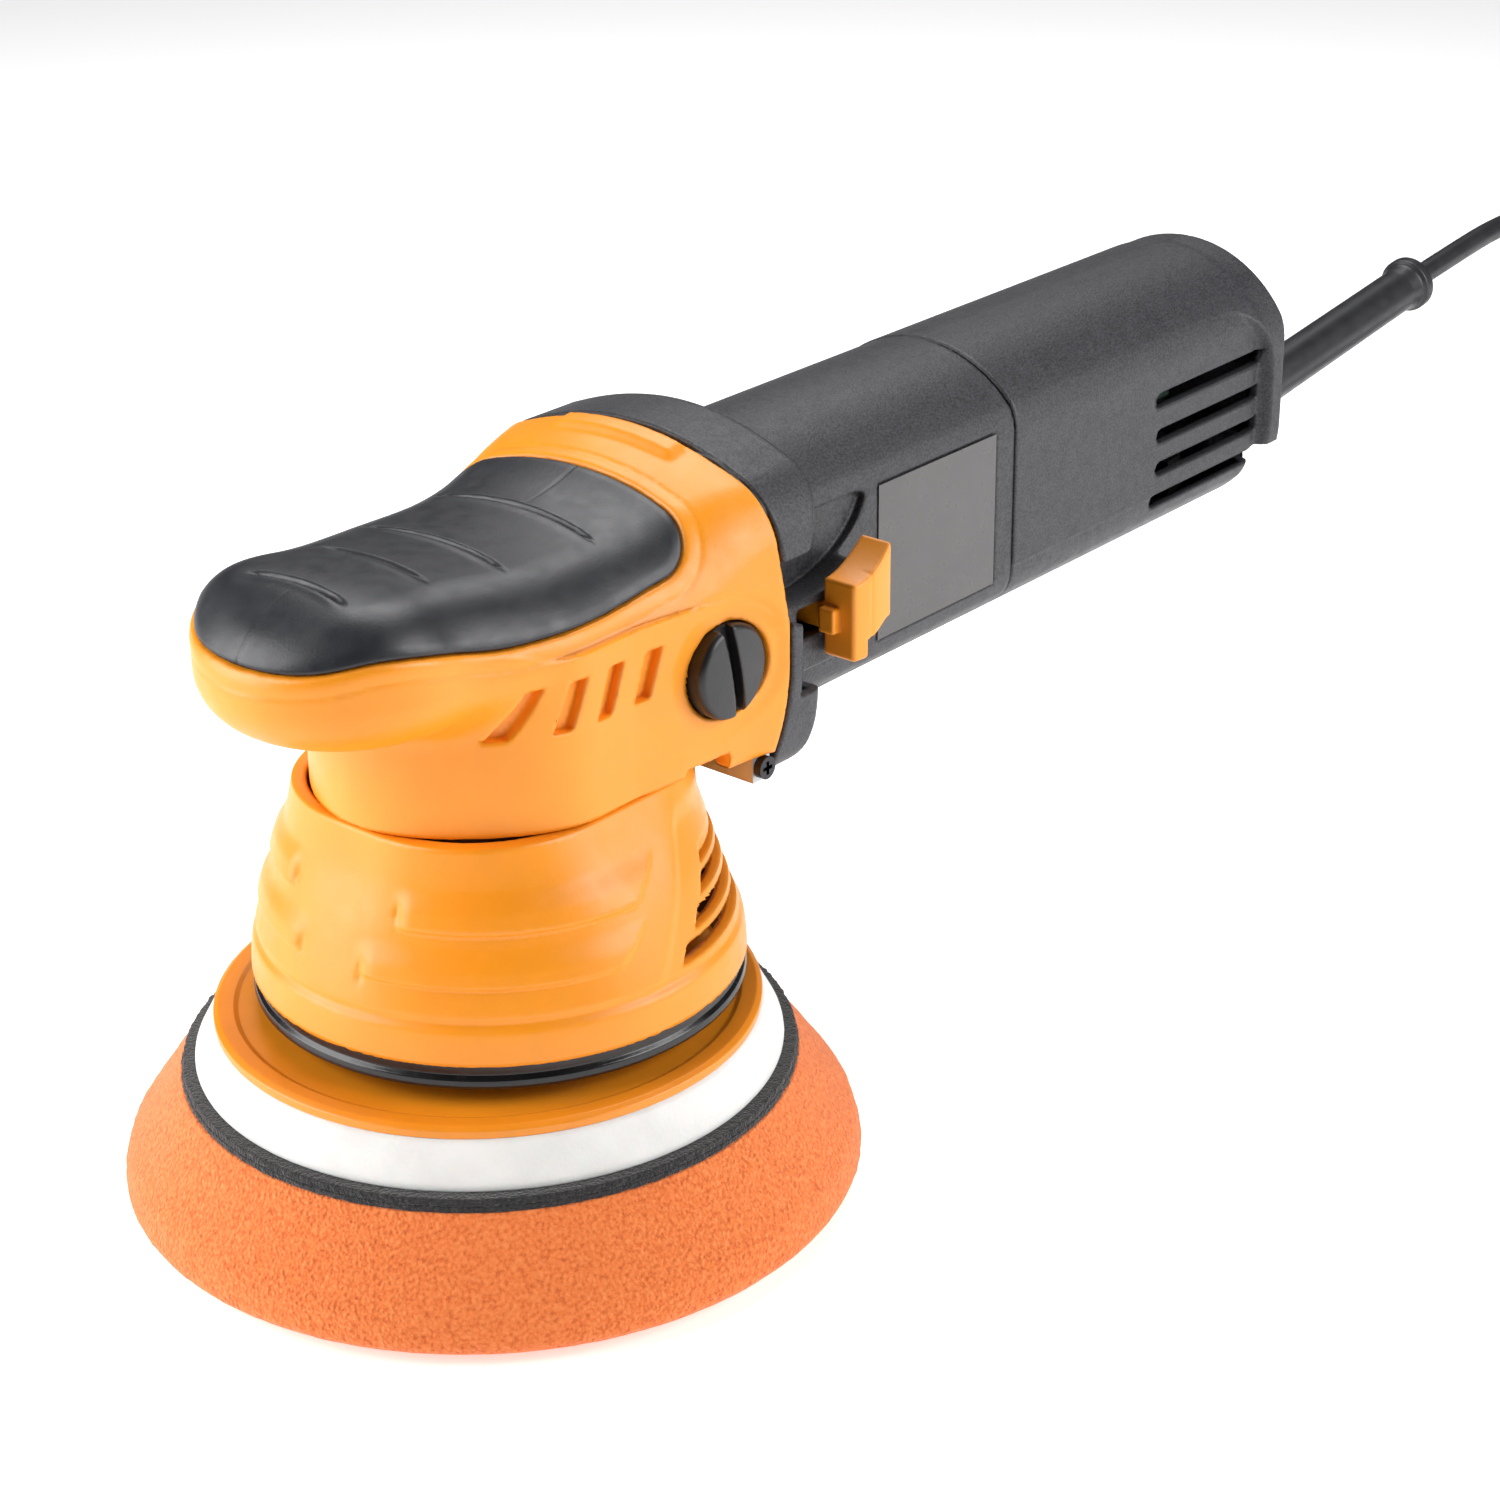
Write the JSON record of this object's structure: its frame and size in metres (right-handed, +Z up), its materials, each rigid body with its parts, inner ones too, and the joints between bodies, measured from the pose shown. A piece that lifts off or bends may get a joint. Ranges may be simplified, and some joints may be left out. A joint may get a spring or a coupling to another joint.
{
  "type": "rotary polisher",
  "caption": "Corded car polisher standing on its foam pad: orange head with soft black grip, D-shaped neck and skirt, black straight motor body, slide switch.",
  "frame": {"origin": "on the floor at the spindle axis, in the plane of the pad's working face", "axes": "+Z up along the spindle, +X along the motor towards the cord, switch on the -Y side"},
  "size_m": [0.6303, 0.202, 0.1537],
  "materials": {
    "cover_orange": "satin, fine moulded texture",
    "plate_orange": "satin",
    "body_black": "fine spark texture",
    "grip_black": "smooth satin soft grip",
    "ring_black": "glossy",
    "cord_black": "satin",
    "foam_orange": "open-cell foam",
    "foam_white": "closed-cell foam",
    "fleece_black": "hook and loop",
    "steel": "machined",
    "screw_black": "blackened",
    "casting": "die cast",
    "copper": "enamelled wire",
    "bronze": "sintered",
    "carbon": "graphite",
    "board_green": "lacquered",
    "inner_black": "moulded",
    "plate_dark": "satin film",
    "pin_metal": "nickel plated"
  },
  "bodies": {
    "housing": {"head_cover": "cover_orange", "grip_pad": "grip_black", "lower_skirt": "cover_orange", "shroud_ring": "ring_black", "port_caps": "body_black", "cover_screws": "screw_black", "flange_gasket": "ring_black", "motor_housing": "body_black", "name_plates": "plate_dark", "rear_cover": "body_black", "gear_housing": "casting", "bearing_cover": "casting", "spindle_bearing": "steel", "spindle_bush": "bronze", "housing_screws": "screw_black", "front_bearing": "steel", "bearing_retainer": "steel", "rear_bearing": "steel", "stator_core": "steel", "field_coils": "copper", "air_baffle": "inner_black", "carbon_brushes": "carbon", "brush_holders": "bronze", "brush_springs": "steel", "dial_post": "inner_black", "control_board": "board_green", "switch_body": "inner_black", "rear_screws": "screw_black", "lead_in": "cord_black", "strain_relief": "cord_black", "cord_clamp": "inner_black", "power_cord": "cord_black", "cord_tail": "cord_black", "cord_coil": "cord_black", "cord_tie": "body_black", "plug_body": "body_black", "plug_pins": "pin_metal"},
    "spindle": {"eccentric_spindle": "steel", "pad_bearings": "steel", "counterweight": "steel", "counterweight_screws": "screw_black", "bevel_gear": "steel", "gear_nut": "steel"},
    "pad": {"foam_pad": "foam_orange", "loop_disc": "fleece_black", "hook_disc": "fleece_black", "backing_foam": "foam_white", "backing_plate": "plate_orange", "plate_stud": "steel", "plate_washer": "steel", "pad_shaft": "steel"},
    "rotor": {"armature_shaft": "steel", "bevel_pinion": "steel", "fan": "inner_black", "armature_core": "steel", "armature_winding": "copper", "commutator": "copper"},
    "switch": {"switch_slider": "cover_orange", "switch_rod": "inner_black"},
    "dial": {"speed_dial": "inner_black"}
  },
  "joints": [
    {"name": "spindle_spin", "type": "hinge", "parent": "housing", "child": "spindle", "pos_m": [0, 0, 0.1], "axis": [0, 0, 1], "continuous": true},
    {"name": "pad_spin", "type": "hinge", "parent": "spindle", "child": "pad", "pos_m": [-0.004, 0, 0.06], "axis": [0, 0, 1], "continuous": true},
    {"name": "rotor_spin", "type": "hinge", "parent": "housing", "child": "rotor", "pos_m": [0.1, 0, 0.1132], "axis": [1, 0, 0], "continuous": true},
    {"name": "switch_slide", "type": "slide", "parent": "housing", "child": "switch", "axis": [-1, 0, 0], "range_m": [0, 0.007]},
    {"name": "dial_turn", "type": "hinge", "parent": "housing", "child": "dial", "pos_m": [0.165, 0.0192, 0.1132], "axis": [0, 0, 1], "range_deg": [0, 270]}
  ],
  "couplings": [
    {"joint": "rotor_spin", "follows": "spindle_spin", "ratio": 3.2727}
  ]
}
